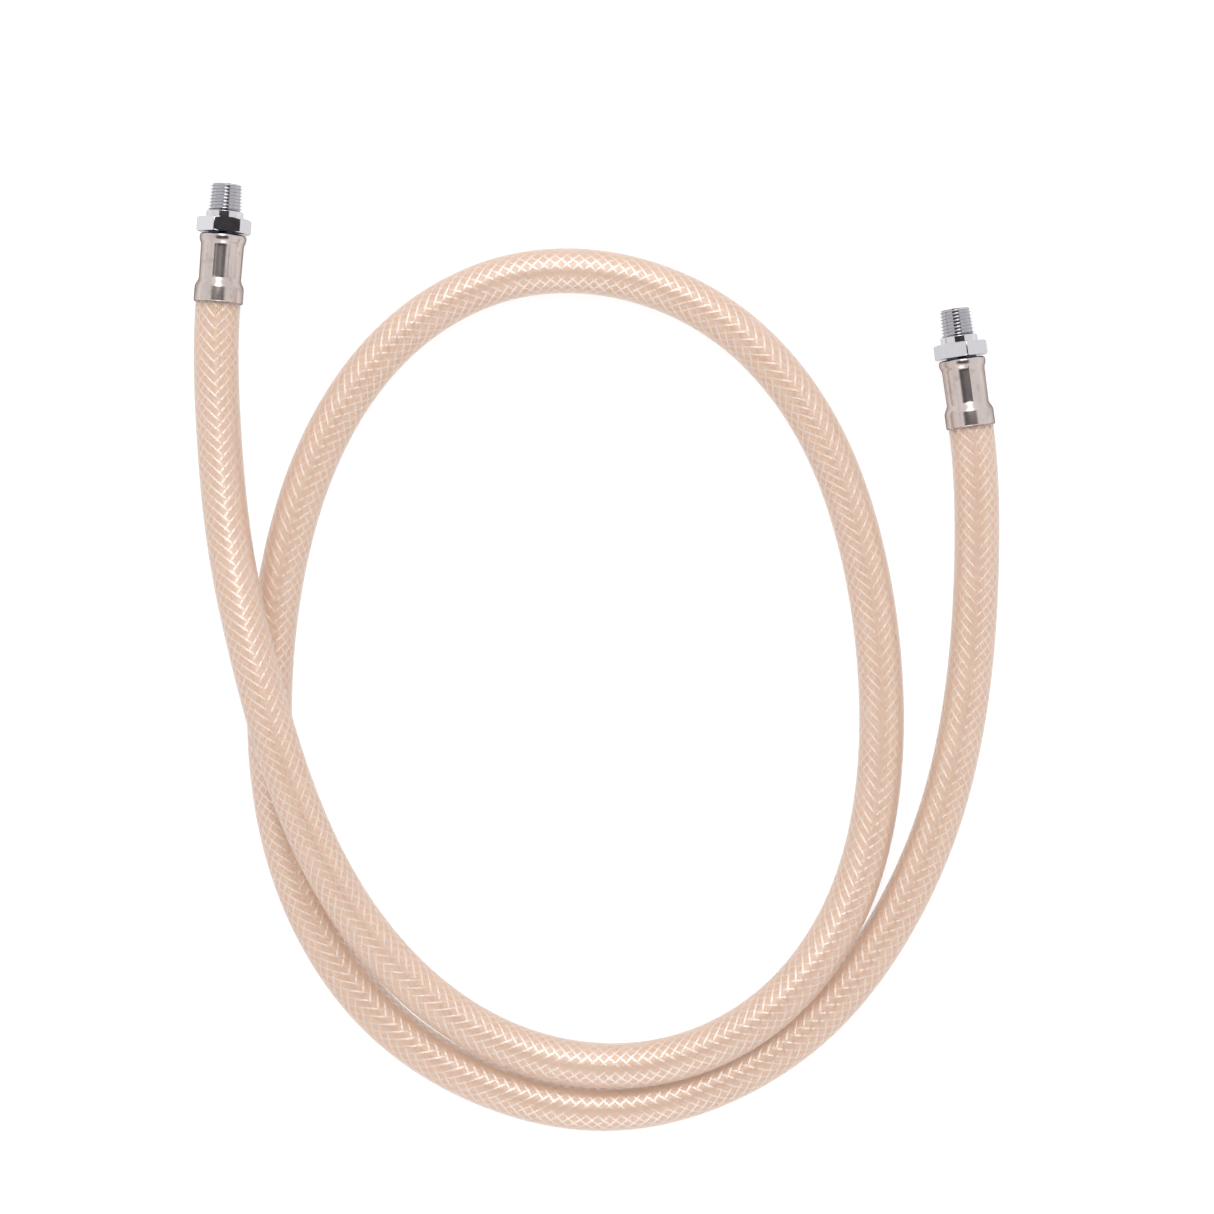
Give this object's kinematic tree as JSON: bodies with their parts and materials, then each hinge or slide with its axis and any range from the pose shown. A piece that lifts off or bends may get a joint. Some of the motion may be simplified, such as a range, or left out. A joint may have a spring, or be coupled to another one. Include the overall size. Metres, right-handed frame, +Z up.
{
  "type": "braided hose assembly",
  "caption": "Clear braid-reinforced vinyl hose lying in a loose loop, with a crimped ferrule and a male tapered pipe-thread stem on each end.",
  "frame": {"origin": "on the surface that the hose lies on, under the middle of the box round the two metal ends", "axes": "+Z up, square to the surface; +X from the left end to the right end; +Y the way both threaded tips point, so the loop lies on the -Y side"},
  "size_m": [0.3408, 0.4009, 0.0396],
  "materials": {
    "clear_vinyl_inner": "clear peach-tinted vinyl, glossy",
    "polyester_yarn": "cream polyester yarn, braided herringbone sleeve",
    "clear_vinyl_outer": "clear peach-tinted vinyl, glossy, faintly hazy",
    "nickel_plate": "bright nickel plate on turned brass",
    "stainless_steel": "drawn stainless steel, bright with faint draw lines"
  },
  "bodies": {
    "root": {"hose_liner": "clear_vinyl_inner", "hose_braid": "polyester_yarn", "hose_cover": "clear_vinyl_outer", "left_stem": "nickel_plate", "left_ferrule": "stainless_steel", "right_stem": "nickel_plate", "right_ferrule": "stainless_steel"}
  },
  "joints": []
}
